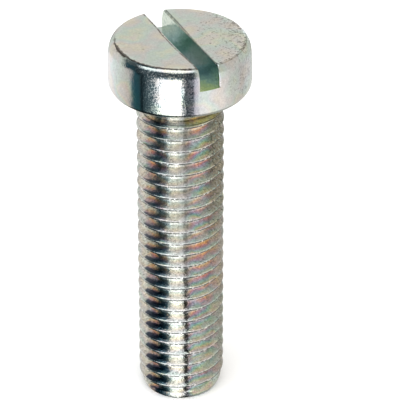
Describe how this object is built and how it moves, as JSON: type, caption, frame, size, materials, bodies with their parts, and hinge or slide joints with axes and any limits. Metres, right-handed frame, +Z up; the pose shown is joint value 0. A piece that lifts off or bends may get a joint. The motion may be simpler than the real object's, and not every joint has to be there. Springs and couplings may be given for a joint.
{
  "type": "cheese head screw",
  "caption": "Slotted cheese head machine screw, fully threaded, zinc plated, standing on its tip with its head up.",
  "frame": {"origin": "the middle of the tip's flat end, on which the screw stands", "axes": "+Z up along the screw's axis from the tip to the head, -Y the side that the picture shows"},
  "size_m": [0.016, 0.016, 0.0451],
  "materials": {
    "zinc_plate": "bright blue passivated zinc plating on steel, with a faint rainbow tint"
  },
  "bodies": {
    "root": {"cheese_head_screw": "zinc_plate"}
  },
  "joints": []
}
